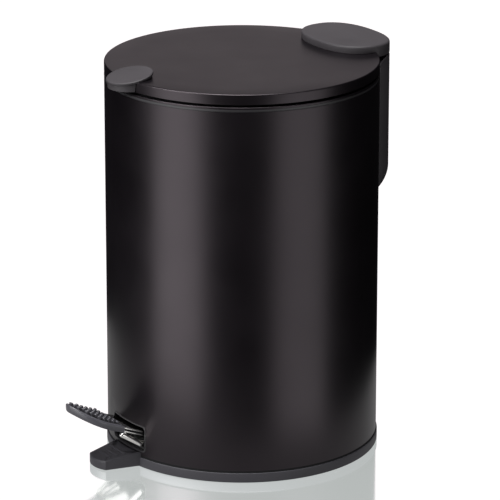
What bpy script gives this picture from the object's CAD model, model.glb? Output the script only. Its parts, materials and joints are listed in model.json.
import json
from math import asin, cos, hypot, pi, radians, sin, sqrt
import bmesh
import bpy
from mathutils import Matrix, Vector


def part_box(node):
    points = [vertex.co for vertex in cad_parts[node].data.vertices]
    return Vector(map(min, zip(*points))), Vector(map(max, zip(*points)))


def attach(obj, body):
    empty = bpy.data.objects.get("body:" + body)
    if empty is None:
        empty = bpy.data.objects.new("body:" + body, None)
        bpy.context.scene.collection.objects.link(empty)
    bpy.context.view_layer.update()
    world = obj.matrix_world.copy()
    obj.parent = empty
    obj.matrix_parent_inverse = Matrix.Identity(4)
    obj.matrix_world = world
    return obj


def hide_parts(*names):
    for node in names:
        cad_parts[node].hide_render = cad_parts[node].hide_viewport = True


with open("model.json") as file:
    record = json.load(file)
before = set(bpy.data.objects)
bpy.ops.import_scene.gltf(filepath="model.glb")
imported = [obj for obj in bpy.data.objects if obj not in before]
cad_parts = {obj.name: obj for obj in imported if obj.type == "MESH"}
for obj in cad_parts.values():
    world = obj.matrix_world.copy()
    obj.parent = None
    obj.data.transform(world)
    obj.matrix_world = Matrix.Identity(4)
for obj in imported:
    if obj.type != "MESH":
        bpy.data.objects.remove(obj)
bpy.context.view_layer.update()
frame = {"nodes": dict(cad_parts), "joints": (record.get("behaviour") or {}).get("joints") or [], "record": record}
nodes = frame["nodes"]
scene = bpy.context.scene
MM = 0.001


def box_mm(node):
    """A CAD node's lowest and highest corners in millimetres."""
    lo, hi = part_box(node)
    return lo / MM, hi / MM


joints = {j["name"]: j for j in frame["joints"]}
body_lo, body_hi = box_mm("body_shell")
BODY_R = body_hi.x
cap_lo, cap_hi = box_mm("hinge_cap")
house_lo = box_mm("hinge_housing")[0]
lid_lo, lid_hi = box_mm("lid_shell")
base_lo, base_hi = box_mm("base")
tread_lo, tread_hi = box_mm("pedal_tread")
HINGE_Y = joints["lid_hinge"]["pos_m"][1] / MM
HINGE_Z = joints["lid_hinge"]["pos_m"][2] / MM

# ---------- camera ----------

CAM_AZIMUTH = radians(57.3)
CAM_ELEVATION = radians(17.64)
CAM_DISTANCE = 2.281
back = Vector((sin(CAM_AZIMUTH) * cos(CAM_ELEVATION),
               -cos(CAM_AZIMUTH) * cos(CAM_ELEVATION), sin(CAM_ELEVATION)))
cam_data = bpy.data.cameras.new("camera")
cam_data.sensor_width = 36
cam_data.lens = 262.5
cam_data.shift_x = 0.0161
cam_data.shift_y = -0.0067
camera = bpy.data.objects.new("camera", cam_data)
scene.collection.objects.link(camera)
camera.rotation_mode = "QUATERNION"
camera.location = Vector((0, 0, 0.125)) + back * CAM_DISTANCE
camera.rotation_quaternion = (-back).to_track_quat("-Z", "Y")
cam_data.clip_end = 60
scene.camera = camera

# ---------- materials ----------


def link(tree, a, b):
    tree.links.new(a, b)


def surface(name, colour, rough, metallic=0.0, level=0.5, grain=900.0, grain_depth=0.02, mottle=0.12,
            rough_spread=0.05, tint=(1, 1, 1), stretch=(1, 1, 1)):
    """A principled material with a fine grain in its bump and slow drifts in colour and roughness."""
    mat = bpy.data.materials.new(name)
    mat.use_nodes = True
    tree = mat.node_tree
    shader = tree.nodes["Principled BSDF"]
    shader.inputs["Metallic"].default_value = metallic
    shader.inputs["Specular IOR Level"].default_value = level
    shader.inputs["Specular Tint"].default_value = (*tint, 1)
    where = tree.nodes.new("ShaderNodeTexCoord")
    mapping = tree.nodes.new("ShaderNodeMapping")
    mapping.inputs["Scale"].default_value = stretch
    link(tree, where.outputs["Object"], mapping.inputs["Vector"])
    slow = tree.nodes.new("ShaderNodeTexNoise")
    slow.inputs["Scale"].default_value = 28
    slow.inputs["Detail"].default_value = 4
    link(tree, mapping.outputs["Vector"], slow.inputs["Vector"])
    ramp = tree.nodes.new("ShaderNodeValToRGB")
    ramp.color_ramp.elements[0].position = 0.3
    ramp.color_ramp.elements[1].position = 0.7
    ramp.color_ramp.elements[0].color = [c * (1 - mottle) for c in colour] + [1]
    ramp.color_ramp.elements[1].color = [min(1, c * (1 + mottle)) for c in colour] + [1]
    link(tree, slow.outputs["Fac"], ramp.inputs["Fac"])
    link(tree, ramp.outputs["Color"], shader.inputs["Base Color"])
    spread = tree.nodes.new("ShaderNodeMapRange")
    spread.inputs["To Min"].default_value = rough - rough_spread
    spread.inputs["To Max"].default_value = rough + rough_spread
    link(tree, slow.outputs["Fac"], spread.inputs["Value"])
    link(tree, spread.outputs["Result"], shader.inputs["Roughness"])
    fine = tree.nodes.new("ShaderNodeTexNoise")
    fine.inputs["Scale"].default_value = grain
    fine.inputs["Detail"].default_value = 2
    link(tree, mapping.outputs["Vector"], fine.inputs["Vector"])
    bump = tree.nodes.new("ShaderNodeBump")
    bump.inputs["Strength"].default_value = 0.6
    bump.inputs["Distance"].default_value = grain_depth * MM
    link(tree, fine.outputs["Fac"], bump.inputs["Height"])
    link(tree, bump.outputs["Normal"], shader.inputs["Normal"])
    return mat


MATERIAL = {
    "black_steel": surface("black_steel", (0.0016, 0.0012, 0.0018), 0.35, level=0.42,
                           grain=1100, grain_depth=0.012,
                           tint=(1.06, 0.92, 1.0)),
    "trim_plastic": surface("trim_plastic", (0.034, 0.031, 0.034), 0.55, level=0.2,
                           grain=1500, grain_depth=0.02),
    "base_plastic": surface("base_plastic", (0.030, 0.0285, 0.034), 0.52, level=0.35,
                           grain=1500, grain_depth=0.02),
    "tread_plastic": surface("tread_plastic", (0.05, 0.049, 0.057), 0.34, grain=1300, grain_depth=0.015),
    "inner_plastic": surface("inner_plastic", (0.018, 0.017, 0.019), 0.45, grain=1200, grain_depth=0.015),
    "bucket_plastic": surface("bucket_plastic", (0.022, 0.022, 0.024), 0.36, grain=420, grain_depth=0.02),
    "rubber": surface("rubber", (0.004, 0.004, 0.0045), 0.8, level=0.15, grain=900, grain_depth=0.03),
    "zinc_steel": surface("zinc_steel", (0.56, 0.57, 0.58), 0.34, metallic=1.0, grain=700,
                          grain_depth=0.01, stretch=(1, 1, 0.12)),
    "bright_steel": surface("bright_steel", (0.86, 0.85, 0.83), 0.13, metallic=1.0, grain=500,
                            grain_depth=0.004, mottle=0.04, rough_spread=0.03),
}

slot_of = {s["node"]: s["material_slot"] for s in frame["record"]["subparts"]}
for name, obj in nodes.items():
    obj.data.materials.clear()
    obj.data.materials.append(MATERIAL[slot_of[name]])

# ---------- mesh tools (all in millimetres) ----------


def piece(name, verts, faces, slot, body, replaces=(), sharp=32):
    """One mesh piece that rides on a body and takes a slot's material."""
    mesh = bpy.data.meshes.new(name)
    mesh.from_pydata([tuple(c * MM for c in v) for v in verts], [], faces)
    bm = bmesh.new()
    bm.from_mesh(mesh)
    bmesh.ops.remove_doubles(bm, verts=bm.verts, dist=1e-6)
    bmesh.ops.dissolve_degenerate(bm, edges=bm.edges, dist=1e-7)
    bmesh.ops.recalc_face_normals(bm, faces=bm.faces)
    bm.to_mesh(mesh)
    bm.free()
    mesh.polygons.foreach_set("use_smooth", [True] * len(mesh.polygons))
    mesh.set_sharp_from_angle(angle=radians(sharp))
    mesh.materials.append(MATERIAL[slot])
    obj = bpy.data.objects.new(name, mesh)
    scene.collection.objects.link(obj)
    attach(obj, body)
    if replaces:
        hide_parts(*replaces)
    return obj


def rounded(points, radius, steps=4):
    """A closed outline with every corner rounded; radius is one number or one per point."""
    out = []
    count = len(points)
    for i, p in enumerate(points):
        r = radius[i] if isinstance(radius, (list, tuple)) else radius
        p = Vector(p)
        a, b = Vector(points[i - 1]), Vector(points[(i + 1) % count])
        ra = min(r, (a - p).length * 0.45)
        rb = min(r, (b - p).length * 0.45)
        if r <= 0 or min(ra, rb) < 1e-6:
            out.append(tuple(p))
            continue
        start = p + (a - p).normalized() * ra
        end = p + (b - p).normalized() * rb
        for k in range(steps + 1):
            u = k / steps
            out.append(tuple(start * (1 - u) ** 2 + p * 2 * u * (1 - u) + end * u * u))
    return out


def loft(rings, close_path=False):
    """Faces between closed rings of equal length; close_path joins the last ring to the first."""
    verts = [p for ring in rings for p in ring]
    n = len(rings[0])
    faces = []
    for i in range(len(rings) if close_path else len(rings) - 1):
        for j in range(n):
            a, b = i * n + j, i * n + (j + 1) % n
            nxt = (i + 1) % len(rings)
            faces.append((a, b, nxt * n + (j + 1) % n, nxt * n + j))
    return verts, faces


def cap_ring(verts, faces, ring):
    """Closes a ring with a fan about its middle."""
    start = len(verts)
    verts += ring
    mid = Vector((0, 0, 0))
    for p in ring:
        mid += Vector(p)
    verts.append(tuple(mid / len(ring)))
    n = len(ring)
    for j in range(n):
        faces.append((start + j, start + (j + 1) % n, start + n))


def add_mesh(verts, faces, more_verts, more_faces):
    """Appends one mesh's corners and faces to another's."""
    shift = len(verts)
    verts += more_verts
    faces += [tuple(i + shift for i in f) for f in more_faces]


def lathe(profile, steps=256):
    """A closed [r, z] profile turned about Z."""
    rings = []
    for i in range(steps):
        a = 2 * pi * i / steps
        rings.append([(r * sin(a), -r * cos(a), z) for r, z in profile])
    return loft(rings, close_path=True)


def open_ring(profile, start, gap, steps):
    """A closed [r, z] profile turned about Z from start, with a gap of twice the half angle given."""
    rings = []
    for i in range(steps + 1):
        a = start + gap + (2 * pi - 2 * gap) * i / steps
        rings.append([(r * sin(a), -r * cos(a), z) for r, z in profile])
    verts, faces = loft(rings)
    cap_ring(verts, faces, rings[0])
    cap_ring(verts, faces, rings[-1])
    return verts, faces


def tube_along(path, radius, sides=16):
    """A round bar along a path in millimetres, with domed ends."""
    rings = []
    points = [Vector(p) for p in path]
    for i, p in enumerate(points):
        t = (points[min(i + 1, len(points) - 1)] - points[max(i - 1, 0)]).normalized()
        u = t.cross(Vector((1, 0, 0))).normalized()
        v = t.cross(u)
        rings.append([tuple(p + u * radius * cos(2 * pi * k / sides) + v * radius * sin(2 * pi * k / sides))
                      for k in range(sides)])
    ends = []
    for p, q in ((points[0], points[1]), (points[-1], points[-2])):
        t = (p - q).normalized()
        u = t.cross(Vector((1, 0, 0))).normalized()
        v = t.cross(u)
        dome = []
        for s in range(6):
            w = s / 6 * pi / 2
            tip, small = p + t * radius * sin(w), radius * cos(w)
            dome.append([tuple(tip + (u * cos(2 * pi * k / sides) + v * sin(2 * pi * k / sides)) * small)
                         for k in range(sides)])
        ends.append(dome)
    verts, faces = loft(rings)
    for dome in ends:
        add_mesh(verts, faces, *loft(dome))
        cap_ring(verts, faces, dome[-1])
    return verts, faces


# ---------- body tube ----------

WALL = 0.8
SLOT_HALF, SLOT_LOW, SLOT_HIGH, SLOT_CORNER = 19.0, 9.8, 27.2, 3.0
NOTCH_HALF, NOTCH_LOW = 8.5, 210.0


def window_point(dx, dz):
    """Where a ray from the pedal slot's centre meets its rounded outline, in x and z."""
    cz = (SLOT_LOW + SLOT_HIGH) / 2
    hz = (SLOT_HIGH - SLOT_LOW) / 2
    lo, hi = 0.0, 200.0
    for _ in range(40):
        t = (lo + hi) / 2
        x, z = abs(dx * t), abs(dz * t)
        qx, qz = x - (SLOT_HALF - SLOT_CORNER), z - (hz - SLOT_CORNER)
        inside = (x <= SLOT_HALF and z <= hz) if min(qx, qz) < 0 else hypot(qx, qz) <= SLOT_CORNER
        lo, hi = (t, hi) if inside else (lo, t)
    return dx * lo, cz + dz * lo


def body_tube():
    step = radians(1.5)
    patch = 12
    count = 240
    notch = asin(NOTCH_HALF / BODY_R)
    angles = [i * step for i in range(count)]
    angles = [a if abs(a - pi) > step * 4.01 else pi + (a - pi) / (step * 4) * notch for a in angles]
    levels = [max(body_lo.z, 7.3), 10, 13, 16, 20, 24, 28, 32, 36]
    top = [60, 100, 140, 180, NOTCH_LOW, 222, body_hi.z]

    def at(r, a, z):
        return (r * sin(a), -r * cos(a), z)

    skins = []
    for r in (BODY_R, BODY_R - WALL):
        verts, faces = [], []
        zs = levels + top
        index = {}
        for i, a in enumerate(angles):
            for k, z in enumerate(zs):
                index[i, k] = len(verts)
                verts.append(at(r, a, z))
        for i in range(count):
            j = (i + 1) % count
            for k in range(len(zs) - 1):
                in_patch = k < len(levels) - 1 and (i < patch or i >= count - patch)
                mid = (angles[i] + (angles[j] if j else 2 * pi)) / 2
                in_notch = abs(mid - pi) < notch and zs[k] >= NOTCH_LOW
                if not in_patch and not in_notch:
                    faces.append((index[i, k], index[j, k], index[j, k + 1], index[i, k + 1]))
        loop = [(i % count, 0) for i in range(-patch, patch)]
        loop += [(patch, k) for k in range(len(levels) - 1)]
        loop += [(i % count, len(levels) - 1) for i in range(patch, -patch, -1)]
        loop += [(count - patch, k) for k in range(len(levels) - 1, 0, -1)]
        inner = []
        cz = (SLOT_LOW + SLOT_HIGH) / 2
        for i, k in loop:
            x0, _, z0 = at(r, angles[i], zs[k])
            scale_x = SLOT_HALF / (BODY_R * sin(patch * step))
            x, z = window_point(x0 * scale_x, (z0 - cz) * (0.6 if z0 > cz else 0.9))
            inner.append(len(verts))
            verts.append((x, -sqrt(r * r - x * x), z))
        n = len(loop)
        for m in range(n):
            a, b = loop[m], loop[(m + 1) % n]
            faces.append((index[a], index[b], inner[(m + 1) % n], inner[m]))
        skins.append((verts, faces, inner, index))
    verts = list(skins[0][0])
    faces = list(skins[0][1])
    shift = len(verts)
    verts += skins[1][0]
    faces += [tuple(i + shift for i in reversed(f)) for f in skins[1][1]]
    edges = {}
    for f in skins[0][1]:
        for a, b in zip(f, f[1:] + f[:1]):
            edges[frozenset((a, b))] = edges.get(frozenset((a, b)), 0) + 1
    for f in skins[0][1]:
        for a, b in zip(f, f[1:] + f[:1]):
            if edges[frozenset((a, b))] == 1:
                faces.append((b, a, a + shift, b + shift))
    return verts, faces


piece("body_tube", *body_tube(), "black_steel", "can", ["body_shell"])

# ---------- lid ----------

LID_R = lid_hi.x
lid_profile = rounded([(0, lid_hi.z), (LID_R, lid_hi.z), (LID_R, lid_lo.z), (LID_R - 1, lid_lo.z),
                       (LID_R - 1, lid_hi.z - 1), (0, lid_hi.z - 1)],
                      [0, 0.9, 0.35, 0.35, 0.9, 0], 6)
lid_profile[0:1] = [(0, lid_hi.z), (20, lid_hi.z), (45, lid_hi.z), (70, lid_hi.z)]
piece("lid_plate", *lathe(lid_profile), "black_steel", "lid", ["lid_shell"])

# ---------- base ring and foot plate ----------

RING_R = base_hi.x
ring_profile = rounded([(0, 2.6), (82.25, 2.6), (82.25, 0.1), (RING_R, 0.1), (RING_R, 6.2), (84.5, 6.2),
                        (84.5, 7.2), (84.15, 7.2), (84.15, 8.8), (82.25, 8.8), (82.25, 4.6), (0, 4.6)],
                       [0, 0.3, 0.5, 0.5, 0.5, 0.2, 0, 0, 0.3, 0.3, 0.5, 0], 4)
piece("base_ring", *lathe(ring_profile), "base_plastic", "can", ["base"])
gap_profile = [(84.3, 6.1), (85.3, 6.1), (85.15, 6.5), (85.06, 7.4), (84.3, 7.4)]
piece("base_gap", *lathe(gap_profile), "rubber", "can")


def upstand():
    """The base's collar inside the tube, open at the pedal slot."""
    profile = rounded([(82.25, 8.6), (84.15, 8.6), (84.15, 16), (82.25, 16)], 0.3, 2)
    return open_ring(profile, 0, asin(SLOT_HALF / 84.15), 180)


piece("base_collar", *upstand(), "base_plastic", "can")


def inset_outline(points, d):
    """A closed outline, counter-clockwise from above, drawn in by d."""
    out = []
    n = len(points)
    for i, p in enumerate(points):
        a, b = Vector(points[i - 1]), Vector(points[(i + 1) % n])
        t = (b - a).normalized()
        normal = Vector((-t.y, t.x))
        out.append(tuple(Vector(p) + normal * d))
    return out


FOOT_Y = -base_lo.y
FOOT_REAR, FOOT_NOSE = 14.5, 9.8


def foot_top(y):
    """Height of the foot plate's top at a distance forward of the axis."""
    return 9.5 + (6.3 - 9.5) * (y - BODY_R) / (FOOT_Y - BODY_R)


def foot_plate():
    """The foot plate in front of the tube: a tapered block with a rounded nose and rounded top edges."""
    rear = BODY_R + 0.1
    nose = FOOT_Y - 2.8
    arc = 18.0
    outline = []
    for k in range(15):
        x = -FOOT_NOSE + 2 * FOOT_NOSE * k / 14
        outline.append((x, -(FOOT_Y - arc + sqrt(arc * arc - x * x))))
    side = [(FOOT_NOSE + (FOOT_REAR - FOOT_NOSE) * k / 8,
             -nose + (nose - sqrt(rear * rear - FOOT_REAR ** 2)) * k / 8) for k in range(1, 9)]
    rear_edge = []
    for k in range(1, 12):
        x = FOOT_REAR - 2 * FOOT_REAR * k / 12
        rear_edge.append((x, -sqrt(rear * rear - x * x)))
    left = [(-x, y) for x, y in reversed(side)]
    loop = outline + side + rear_edge + left
    rings = []
    for inset, z in ((0.4, 0.5), (0.0, 0.9)):
        rings.append([(x, y, z) for x, y in inset_outline(loop, inset)])
    for inset, depth in ((0.0, 1.3), (0.12, 0.75), (0.4, 0.35), (0.8, 0.1), (1.3, 0.0)):
        rings.append([(x, y, foot_top(-y) - depth) for x, y in inset_outline(loop, inset)])
    verts, faces = loft(rings)
    cap_ring(verts, faces, rings[0])
    top = inset_outline(loop, 4)
    inner = [(x, y, foot_top(-y)) for x, y in top]
    add_mesh(verts, faces, *loft([rings[-1], inner]))
    cap_ring(verts, faces, inner)
    return verts, faces


piece("foot_plate", *foot_plate(), "base_plastic", "can", sharp=28)


def foot_bars():
    """Three low raised bars across the foot plate's top."""
    verts, faces = [], []
    for y in (92, 96.5, 101):
        half = 9.2 - (y - 92) * 0.2
        rings = []
        for inset, rise in ((0, -0.4), (0, 0.1), (0.25, 0.28), (0.5, 0.3)):
            ring = rounded([(-half + inset, -y - 0.9 + inset), (half - inset, -y - 0.9 + inset),
                            (half - inset, -y + 0.9 - inset), (-half + inset, -y + 0.9 - inset)], 0.4, 3)
            rings.append([(px, py, foot_top(-py) + rise) for px, py in ring])
        add_mesh(verts, faces, *loft(rings))
        cap_ring(verts, faces, rings[-1])
    return verts, faces


piece("foot_bars", *foot_bars(), "base_plastic", "can")

# ---------- hinge cap and housing ----------

OVAL_Y, OVAL_POWER = 77.5, 2.35
OVAL_HALF = cap_hi.x
OVAL_FRONT = OVAL_Y - cap_lo.y
OVAL_REAR = cap_hi.y - OVAL_Y
SHELL, HOUSE_WALL = 2.0, 1.4
BARREL_MOST = 14.3
CAP_EDGE = HINGE_Z + 14.6
LID_SWEEP_R = 85.3


def barrel(x):
    """Radius of the barrel under the cap: as much as the lid's edge, swinging past it, allows."""
    near = HINGE_Y - sqrt(max(LID_SWEEP_R ** 2 - x * x, 0))
    return min(BARREL_MOST, hypot(near, lid_lo.z - HINGE_Z) - 0.7)


def oval(inset, steps=144):
    out = []
    for i in range(steps):
        a = 2 * pi * i / steps
        c, s = cos(a), sin(a)
        b = (OVAL_REAR if s > 0 else OVAL_FRONT) - inset
        sx, sy = (1 if c > 0 else -1), (1 if s > 0 else -1)
        out.append((sx * abs(c) ** (2 / OVAL_POWER) * (OVAL_HALF - inset),
                    OVAL_Y + sy * abs(s) ** (2 / OVAL_POWER) * b))
    return out


def cap_edge(x, y):
    """Height of the cap's lower edge: on the lid, or level and a little lower behind it."""
    return lid_hi.z if hypot(x, y) <= LID_R + 0.4 else CAP_EDGE


def hinge_cap():
    top = cap_hi.z
    rings = []
    for inset, drop in ((9, 0), (3.5, 0), (1.5, 0.03), (1.0, 0.13), (0.55, 0.33), (0.22, 0.65),
                        (0.05, 1.1), (0, 1.6)):
        rings.append([(x, y, top - drop) for x, y in oval(inset)])
    outer = oval(0)
    rings.append([(x, y, min(cap_edge(x, y) + 0.5, top - 2)) for x, y in outer])
    rings.append([(x, y, cap_edge(x, y) + 0.12) for x, y in oval(0.12)])
    rings.append([(x, y, cap_edge(x, y)) for x, y in oval(0.5)])
    rings.append([(x, y, cap_edge(x, y)) for x, y in oval(SHELL)])
    rings.append([(x, y, top - SHELL) for x, y in oval(SHELL)])
    verts, faces = loft(rings)
    cap_ring(verts, faces, rings[0])
    cap_ring(verts, faces, rings[-1])
    return verts, faces


piece("cap_cover", *hinge_cap(), "trim_plastic", "lid", ["hinge_cap"], sharp=38)


def housing_skin():
    """The hinge housing as slices in x: out from the tube, up its back and over the barrel."""
    low = house_lo.z + 2
    round_up = 13.0
    half = OVAL_HALF
    xs = []
    for k in range(49):
        u = -1 + 2 * k / 48
        xs.append(half * 0.9965 * sin(u * pi / 2))
    xs = sorted(set([round(x, 4) for x in xs if abs(abs(x) - 7.5) > 0.6] + [-7.5, 7.5]))
    slot_y = HINGE_Y + 7.2
    slices = []
    for x in xs:
        y_out = OVAL_Y + OVAL_REAR * max(0.0, 1 - (abs(x) / half) ** OVAL_POWER) ** (1 / OVAL_POWER)
        if hypot(x, y_out) < BODY_R:
            continue
        y_in = sqrt(BODY_R ** 2 - x * x)
        line = []
        for k in range(11):
            w = k / 10 * pi / 2
            line.append((x, y_in + (y_out - y_in) * sin(w), low + round_up * (1 - cos(w))))
        rise = barrel(x)
        z_wall = HINGE_Z + sqrt(max(rise ** 2 - (y_out - HINGE_Y) ** 2, 0))
        line += [(x, y_out, low + round_up + (z_wall - low - round_up) * k / 6) for k in range(1, 7)]
        mid = min(slot_y, y_out - min(0.6, (y_out - y_in) * 0.12))
        arc = [y_out + (mid - y_out) * k / 3 for k in range(1, 4)]
        arc += [mid + (y_in - mid) * k / 12 for k in range(1, 13)]
        for y in arc:
            line.append((x, y, HINGE_Z + sqrt(max(rise ** 2 - (y - HINGE_Y) ** 2, 0))))
        slices.append(line)
    verts = [p for line in slices for p in line]
    n = len(slices[0])
    wall_end = 11 + 6 + 3 - 1
    faces = []
    for i in range(len(slices) - 1):
        middle = (slices[i][0][0] + slices[i + 1][0][0]) / 2
        for j in range(n - 1):
            if abs(middle) < 7.5 and j >= wall_end:
                continue
            faces.append((i * n + j, (i + 1) * n + j, (i + 1) * n + j + 1, i * n + j + 1))
    return verts, faces


housing = piece("housing_shell", *housing_skin(), "trim_plastic", "can", ["hinge_housing"], sharp=60)
thick = housing.modifiers.new("thickness", "SOLIDIFY")
thick.thickness = HOUSE_WALL * MM
thick.offset = -1
thick.use_rim = True

# ---------- lid grip ----------

GRIP_TILT = radians(10.8)
GRIP_R = 14.5
GRIP_CENTRE = Vector((0, -80.8, lid_hi.z + 1.6))


def tilt_point(r, a, h):
    """A point of the tilted grip: radius and angle about its own axis, height above its top's middle."""
    y = -r * cos(a)
    return (r * sin(a), GRIP_CENTRE.y + y * cos(GRIP_TILT) - h * sin(GRIP_TILT),
            GRIP_CENTRE.z + y * sin(GRIP_TILT) + h * cos(GRIP_TILT))


def grip_disc():
    rings = []
    for r, h in ((5, -0.35), (10, -0.22), (12.6, -0.08), (13.5, 0), (14.05, -0.12), (14.4, -0.45),
                 (14.5, -1.0), (14.4, -1.5), (14.1, -1.8), (13.6, -1.9), (11, -1.95)):
        rings.append([tilt_point(r, 2 * pi * i / 96, h) for i in range(96)])
    verts, faces = loft(rings)
    cap_ring(verts, faces, rings[0])
    cap_ring(verts, faces, rings[-1])
    return verts, faces


def grip_skirt():
    """The grip's skirt in front of the lid's edge and down onto the lid's top behind it."""
    top_ring, low_ring, in_low, in_top = [], [], [], []
    for i in range(96):
        a = 2 * pi * i / 96
        for ring_top, ring_low, r in ((top_ring, low_ring, GRIP_R - 0.7), (in_top, in_low, GRIP_R - 3)):
            p = tilt_point(r, a, -1.7)
            ring_top.append(p)
            low = lid_lo.z + 0.5 if hypot(p[0], p[1]) > BODY_R + 0.05 else lid_hi.z - 0.3
            q = (p[0] * 0.985, p[1], low)
            ring_low.append(q)
    return loft([top_ring, low_ring, in_low, in_top])


piece("grip_disc", *grip_disc(), "trim_plastic", "lid", ["lid_grip"])
piece("grip_skirt", *grip_skirt(), "trim_plastic", "lid")

# ---------- rim band under the lid ----------


def rim_band():
    """The band, open at the back where the lid's arm comes through."""
    profile = rounded([(83.2, 237.0), (85.05, 237.0), (85.05, 238.5), (83.2, 238.5)], [0.1, 0.5, 0.5, 0.1], 5)
    return open_ring(profile, -pi, asin((NOTCH_HALF + 0.4) / BODY_R), 240)


piece("rim_band", *rim_band(), "black_steel", "can")

# ---------- pedal tread ----------

TREAD_Y, TREAD_Z, TREAD_R, TREAD_T = -64.85, 133.6, 108.0, 4.6
TREAD_REAR, TREAD_NOSE, TREAD_HALF = -tread_hi.y, -tread_lo.y, tread_hi.x


def tread_width(y):
    u = max(0.0, y - 108) / (TREAD_NOSE - 108 + 0.3)
    return TREAD_HALF * (1 - u ** 2.2) ** 0.714


def on_tread(x, y, depth):
    """A point at x and y (forward), on the arc that lies depth under the curved top."""
    return (x, -y, TREAD_Z - sqrt((TREAD_R + depth) ** 2 - (y + TREAD_Y) ** 2))


def tread_layers(layers):
    """A closed solid that follows the tread's outline; each layer is an inset and a depth."""
    steps = 44
    ys = [TREAD_REAR + (TREAD_NOSE - TREAD_REAR) * (1 - (1 - i / steps) ** 1.7) for i in range(steps + 1)]
    loop = [(tread_width(y), y) for y in ys] + [(-tread_width(y), y) for y in reversed(ys)]
    n = len(loop)
    rings = []
    for inset, depth in layers:
        ring = []
        for i, (x, y) in enumerate(loop):
            t = (Vector(loop[(i + 1) % n]) - Vector(loop[i - 1])).normalized()
            py = min(max(y + t.x * inset, TREAD_REAR + inset), TREAD_NOSE - inset)
            ring.append(on_tread(x - t.y * inset, py, depth))
        rings.append(ring)
    verts, faces = loft(rings)
    half = len(ys)
    for last in (rings[0], rings[-1]):
        shift = len(verts)
        verts += last
        for i in range(half - 1):
            faces.append((shift + i, shift + i + 1, shift + 2 * half - 2 - i, shift + 2 * half - 1 - i))
    return verts, faces


SLAB = ((0.9, TREAD_T - 0.15), (0.25, TREAD_T - 0.6), (0.05, TREAD_T - 1.4), (0.0, 1.5), (0.1, 0.8),
        (0.35, 0.35), (0.8, 0.08), (1.4, 0.0))
PAD = ((1.7, 0.3), (1.7, -0.05), (1.95, -0.15))


def tread_studs():
    """Blunt studs in a regular lattice over the tread."""
    verts, faces = [], []
    row, pitch, first = 3.2, 4.4, TREAD_REAR + 3.0
    for i in range(int((TREAD_NOSE - first - 1.5) / row) + 1):
        y = first + row * i
        for k in range(-4, 5):
            x = k * pitch
            if abs(x) > tread_width(y + 1.2) - 2.2:
                continue
            rings = []
            for size, rise in ((1.15, 0.0), (1.1, -0.7), (1.0, -1.3), (0.75, -1.55)):
                turns = [pi / 5 * m for m in range(10)]
                rings.append([on_tread(x + size * 1.2 * cos(w), y + size * 0.86 * sin(w), rise)
                              for w in turns])
            add_mesh(verts, faces, *loft(rings))
            cap_ring(verts, faces, rings[-1])
    return verts, faces


piece("tread_slab", *tread_layers(SLAB), "tread_plastic", "pedal", ["pedal_tread"], sharp=40)
piece("tread_pad", *tread_layers(PAD), "rubber", "pedal", sharp=40)
piece("tread_studs", *tread_studs(), "tread_plastic", "pedal", sharp=36)

# ---------- lever edges ----------


def band_top(y):
    """Height of the top edge of the lever's upper band."""
    return 23.8 + (-83 - y) * 5.5 / 14


def lever_bead(side):
    """The rolled lower edge of the lever's side flange, from under the tread into the slot."""
    x = side * 16.1
    path = [(x, y, 14.2 + 1.3 + (y + 84.5) * -10.7 / 16.5) for y in (-98, -95, -92, -89, -87, -85.4)]
    return tube_along(path, 1.8)


def lever_core(side):
    """A dark inlay between the two rounded edges of the lever's upper band."""
    out = side * (box_mm("pedal_lever")[1].x + 0.15)
    rings = []
    for y in (-97.2, -90, -83.4):
        high, low, inside = band_top(y) - 0.85, band_top(y) - 2.15, out - side * 0.6
        rings.append([(out, y, high), (out, y, low), (inside, y, low), (inside, y, high)])
    verts, faces = loft(rings)
    cap_ring(verts, faces, rings[0])
    cap_ring(verts, faces, rings[-1])
    return verts, faces


def lever_lip(side):
    """Fine rounded edges along the top and bottom of the lever's upper band."""
    verts, faces = [], []
    for rise in (-0.5, -2.5):
        path = [(side * 16.35, y, band_top(y) + rise) for y in (-96.6, -92, -88, -84, -83)]
        add_mesh(verts, faces, *tube_along(path, 0.42, 8))
    return verts, faces


for label, side in (("left", -1), ("right", 1)):
    piece("lever_bead_" + label, *lever_bead(side), "bright_steel", "pedal", sharp=80)
    piece("lever_lip_" + label, *lever_lip(side), "bright_steel", "pedal", sharp=80)
    piece("lever_core_" + label, *lever_core(side), "rubber", "pedal")

# ---------- stage, world and lights ----------


def plain_material(name, colour, strength, diffuse, gloss, gloss_rough):
    """White floor: a soft glow, a little diffuse shade and a faint mirror."""
    mat = bpy.data.materials.new(name)
    mat.use_nodes = True
    tree = mat.node_tree
    tree.nodes.clear()
    out = tree.nodes.new("ShaderNodeOutputMaterial")
    glow = tree.nodes.new("ShaderNodeEmission")
    glow.inputs["Color"].default_value = (*colour, 1)
    glow.inputs["Strength"].default_value = strength
    matte = tree.nodes.new("ShaderNodeBsdfDiffuse")
    matte.inputs["Color"].default_value = (diffuse, diffuse, diffuse, 1)
    mirror = tree.nodes.new("ShaderNodeBsdfAnisotropic")
    mirror.inputs["Color"].default_value = (gloss, gloss, gloss, 1)
    mirror.inputs["Roughness"].default_value = gloss_rough
    add = tree.nodes.new("ShaderNodeAddShader")
    both = tree.nodes.new("ShaderNodeAddShader")
    link(tree, glow.outputs[0], add.inputs[0])
    link(tree, matte.outputs[0], add.inputs[1])
    link(tree, add.outputs[0], both.inputs[0])
    link(tree, mirror.outputs[0], both.inputs[1])
    link(tree, both.outputs[0], out.inputs["Surface"])
    return mat


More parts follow.
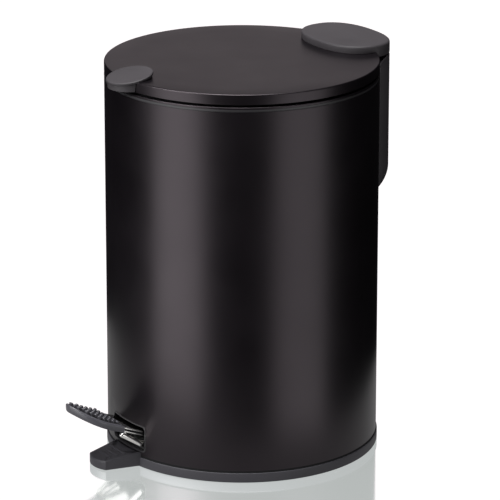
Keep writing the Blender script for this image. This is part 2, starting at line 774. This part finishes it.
def disc(name, radius, z, mat):
    mesh = bpy.data.meshes.new(name)
    ring = [(radius * cos(2 * pi * i / 96), radius * sin(2 * pi * i / 96), z) for i in range(96)]
    mesh.from_pydata(ring, [], [tuple(range(96))])
    mesh.materials.append(mat)
    obj = bpy.data.objects.new(name, mesh)
    scene.collection.objects.link(obj)
    return obj


floor = disc("floor", 14, 0, plain_material("floor_white", (0.97, 1.03, 1.01), 0.44, 0.02, 1.54, 0.09))
floor.visible_glossy = False
floor.visible_diffuse = False
floor.visible_shadow = False
bounce_glow = plain_material("floor_near_white", (1, 1, 1), 0.45, 0.0, 0.0, 0.5)
bounce = disc("floor_near", 0.215, -0.0005, bounce_glow)
bounce.visible_shadow = False
bounce.visible_camera = False

world = bpy.data.worlds.new("world")
world.use_nodes = True
world.node_tree.nodes["Background"].inputs["Color"].default_value = (0.9, 0.95, 1.0, 1)
world.node_tree.nodes["Background"].inputs["Strength"].default_value = 0.004
scene.world = world

right = Vector((cos(CAM_AZIMUTH), sin(CAM_AZIMUTH), 0))
front = Vector((sin(CAM_AZIMUTH), -cos(CAM_AZIMUTH), 0))
bounce.location = right * -0.05 + front * -0.03


def softbox(name, turn, distance, height, width, tall, radiance, aim=0.12, colour=(1, 1, 1)):
    """An area light at an angle round from the camera, to its right if turn is positive."""
    light = bpy.data.lights.new(name, "AREA")
    light.shape = "RECTANGLE"
    light.size = width
    light.size_y = tall
    light.energy = radiance * pi * width * tall
    light.color = colour
    obj = bpy.data.objects.new(name, light)
    scene.collection.objects.link(obj)
    t = radians(turn)
    obj.location = (front * cos(t) + right * sin(t)) * distance + Vector((0, 0, height))
    obj.rotation_mode = "QUATERNION"
    obj.rotation_quaternion = (obj.location - Vector((0, 0, aim))).to_track_quat("Z", "Y")
    obj.visible_camera = False
    return obj


softbox("left_box", -54, 1.5, -0.25, 1.15, 1.5, 2.85)
softbox("left_high", -58, 1.35, 0.95, 0.9, 0.4, 20.0, aim=0.0)
softbox("right_box", 49, 1.5, -0.25, 1.2, 1.5, 1.55)
softbox("top_box", -30, 0.3, 1.65, 1.0, 1.0, 15.5, aim=0.0)
softbox("back_card", 180, 4.0, 1.2, 2.0, 1.9, 0.39, aim=1.0, colour=(1.08, 0.97, 1.0))

scene.view_settings.view_transform = "Standard"
scene.view_settings.look = "None"
